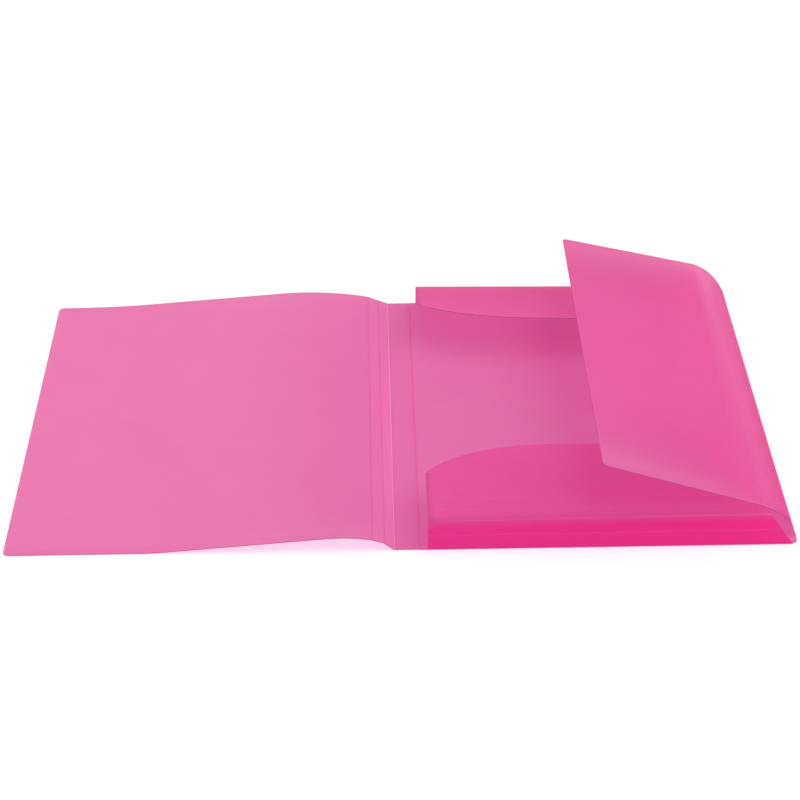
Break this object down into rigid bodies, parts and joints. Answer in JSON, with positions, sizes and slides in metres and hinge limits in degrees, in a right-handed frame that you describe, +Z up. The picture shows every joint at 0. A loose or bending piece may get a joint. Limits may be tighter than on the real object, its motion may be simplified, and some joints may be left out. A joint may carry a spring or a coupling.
{
  "type": "three-flap document folder",
  "caption": "Flat document folder of translucent pink plastic sheet, with a creased spine and with bottom, top and side flaps that fold in over loose papers.",
  "frame": {"origin": "centre of the back cover's underside, on the table", "axes": "+X from the spine to the side flap, +Y from the bottom flap to the top flap, +Z up off the table"},
  "size_m": [0.4879, 0.3204, 0.0548],
  "materials": {
    "frosted_sheet": "frosted translucent polypropylene, pink, with a fine satin grain"
  },
  "bodies": {
    "back_cover": {"back_cover": "frosted_sheet"},
    "spine": {"spine": "frosted_sheet"},
    "front_strip_inner": {"front_strip_inner": "frosted_sheet"},
    "front_strip_outer": {"front_strip_outer": "frosted_sheet"},
    "front_cover": {"front_cover": "frosted_sheet"},
    "side_gusset_lower": {"side_gusset_lower": "frosted_sheet"},
    "side_gusset_upper": {"side_gusset_upper": "frosted_sheet"},
    "side_shoulder_lower": {"side_shoulder_lower": "frosted_sheet"},
    "side_shoulder_upper": {"side_shoulder_upper": "frosted_sheet"},
    "side_flap": {"side_flap": "frosted_sheet"},
    "bottom_gusset_lower": {"bottom_gusset_lower": "frosted_sheet"},
    "bottom_gusset_upper": {"bottom_gusset_upper": "frosted_sheet"},
    "bottom_shoulder_lower": {"bottom_shoulder_lower": "frosted_sheet"},
    "bottom_shoulder_upper": {"bottom_shoulder_upper": "frosted_sheet"},
    "bottom_flap": {"bottom_flap": "frosted_sheet"},
    "top_gusset_lower": {"top_gusset_lower": "frosted_sheet"},
    "top_gusset_upper": {"top_gusset_upper": "frosted_sheet"},
    "top_shoulder_lower": {"top_shoulder_lower": "frosted_sheet"},
    "top_shoulder_upper": {"top_shoulder_upper": "frosted_sheet"},
    "top_flap": {"top_flap": "frosted_sheet"}
  },
  "joints": [
    {"name": "spine_crease", "type": "hinge", "parent": "back_cover", "child": "spine", "pos_m": [-0.116, 0, 0.00025], "axis": [0, 1, 0], "range_deg": [0, 80]},
    {"name": "front_inner_crease", "type": "hinge", "parent": "spine", "child": "front_strip_inner", "pos_m": [-0.132, 0, 0.00025], "axis": [0, 1, 0], "range_deg": [0, 14]},
    {"name": "front_middle_crease", "type": "hinge", "parent": "front_strip_inner", "child": "front_strip_outer", "pos_m": [-0.13847, 0, 0.00495], "axis": [0, 1, 0], "range_deg": [0, 46]},
    {"name": "front_outer_crease", "type": "hinge", "parent": "front_strip_outer", "child": "front_cover", "pos_m": [-0.1462, 0, 0.00702], "axis": [0, 1, 0], "range_deg": [0, 40]},
    {"name": "side_base_crease", "type": "hinge", "parent": "back_cover", "child": "side_gusset_lower", "pos_m": [0.116, 0, 0.00025], "axis": [0, -1, 0], "range_deg": [-103, 0]},
    {"name": "side_gusset_crease", "type": "hinge", "parent": "side_gusset_lower", "child": "side_gusset_upper", "pos_m": [0.11364, 0, 0.01048], "axis": [0, -1, 0], "range_deg": [-22, 0]},
    {"name": "side_main_crease", "type": "hinge", "parent": "side_gusset_upper", "child": "side_shoulder_lower", "pos_m": [0.10762, 0, 0.01908], "axis": [0, -1, 0], "range_deg": [0, 16], "stiffness_Nm_per_rad": 0.15},
    {"name": "side_shoulder_crease", "type": "hinge", "parent": "side_shoulder_lower", "child": "side_shoulder_upper", "pos_m": [0.09923, 0, 0.0254], "axis": [0, -1, 0], "range_deg": [-11, 0]},
    {"name": "side_flap_crease", "type": "hinge", "parent": "side_shoulder_upper", "child": "side_flap", "pos_m": [0.08979, 0, 0.03], "axis": [0, -1, 0], "range_deg": [-11.5, 0]},
    {"name": "bottom_base_crease", "type": "hinge", "parent": "back_cover", "child": "bottom_gusset_lower", "pos_m": [-0.00375, -0.16, 0.00025], "axis": [-1, 0, 0], "range_deg": [-87.55, 0]},
    {"name": "bottom_gusset_crease", "type": "hinge", "parent": "bottom_gusset_lower", "child": "bottom_gusset_upper", "pos_m": [-0.00375, -0.1595, 0.00974], "axis": [-1, 0, 0], "range_deg": [-4, 0]},
    {"name": "bottom_main_crease", "type": "hinge", "parent": "bottom_gusset_upper", "child": "bottom_shoulder_lower", "pos_m": [-0.00375, -0.15835, 0.01917], "axis": [-1, 0, 0], "range_deg": [0, 9]},
    {"name": "bottom_shoulder_crease", "type": "hinge", "parent": "bottom_shoulder_lower", "child": "bottom_shoulder_upper", "pos_m": [-0.00375, -0.14909, 0.0213], "axis": [-1, 0, 0], "range_deg": [-4, 0]},
    {"name": "bottom_flap_crease", "type": "hinge", "parent": "bottom_shoulder_upper", "child": "bottom_flap", "pos_m": [-0.00375, -0.13971, 0.02279], "axis": [-1, 0, 0], "range_deg": [-2.5, 0]},
    {"name": "top_base_crease", "type": "hinge", "parent": "back_cover", "child": "top_gusset_lower", "pos_m": [-0.00375, 0.16, 0.00025], "axis": [1, 0, 0], "range_deg": [-87.55, 0]},
    {"name": "top_gusset_crease", "type": "hinge", "parent": "top_gusset_lower", "child": "top_gusset_upper", "pos_m": [-0.00375, 0.15738, 0.00938], "axis": [1, 0, 0], "range_deg": [-3, 0]},
    {"name": "top_main_crease", "type": "hinge", "parent": "top_gusset_upper", "child": "top_shoulder_lower", "pos_m": [-0.00375, 0.15429, 0.01836], "axis": [1, 0, 0], "range_deg": [0, 12.5]},
    {"name": "top_shoulder_crease", "type": "hinge", "parent": "top_shoulder_lower", "child": "top_shoulder_upper", "pos_m": [-0.00375, 0.14516, 0.02098], "axis": [1, 0, 0], "range_deg": [-4, 0]},
    {"name": "top_flap_crease", "type": "hinge", "parent": "top_shoulder_upper", "child": "top_flap", "pos_m": [-0.00375, 0.13586, 0.02296], "axis": [1, 0, 0], "range_deg": [-2, 0]}
  ],
  "couplings": [
    {"joint": "side_gusset_crease", "follows": "side_base_crease", "ratio": 0.21359},
    {"joint": "side_shoulder_crease", "follows": "side_base_crease", "ratio": 0.1068},
    {"joint": "side_flap_crease", "follows": "side_base_crease", "ratio": 0.11165},
    {"joint": "bottom_base_crease", "follows": "side_base_crease", "ratio": 0.85},
    {"joint": "bottom_gusset_crease", "follows": "side_base_crease", "ratio": 0.038835},
    {"joint": "bottom_main_crease", "follows": "side_main_crease", "ratio": 0.5625},
    {"joint": "bottom_shoulder_crease", "follows": "side_base_crease", "ratio": 0.038835},
    {"joint": "bottom_flap_crease", "follows": "side_base_crease", "ratio": 0.024272},
    {"joint": "top_base_crease", "follows": "side_base_crease", "ratio": 0.85},
    {"joint": "top_gusset_crease", "follows": "side_base_crease", "ratio": 0.029126},
    {"joint": "top_main_crease", "follows": "side_main_crease", "ratio": 0.78125},
    {"joint": "top_shoulder_crease", "follows": "side_base_crease", "ratio": 0.038835},
    {"joint": "top_flap_crease", "follows": "side_base_crease", "ratio": 0.019417}
  ]
}
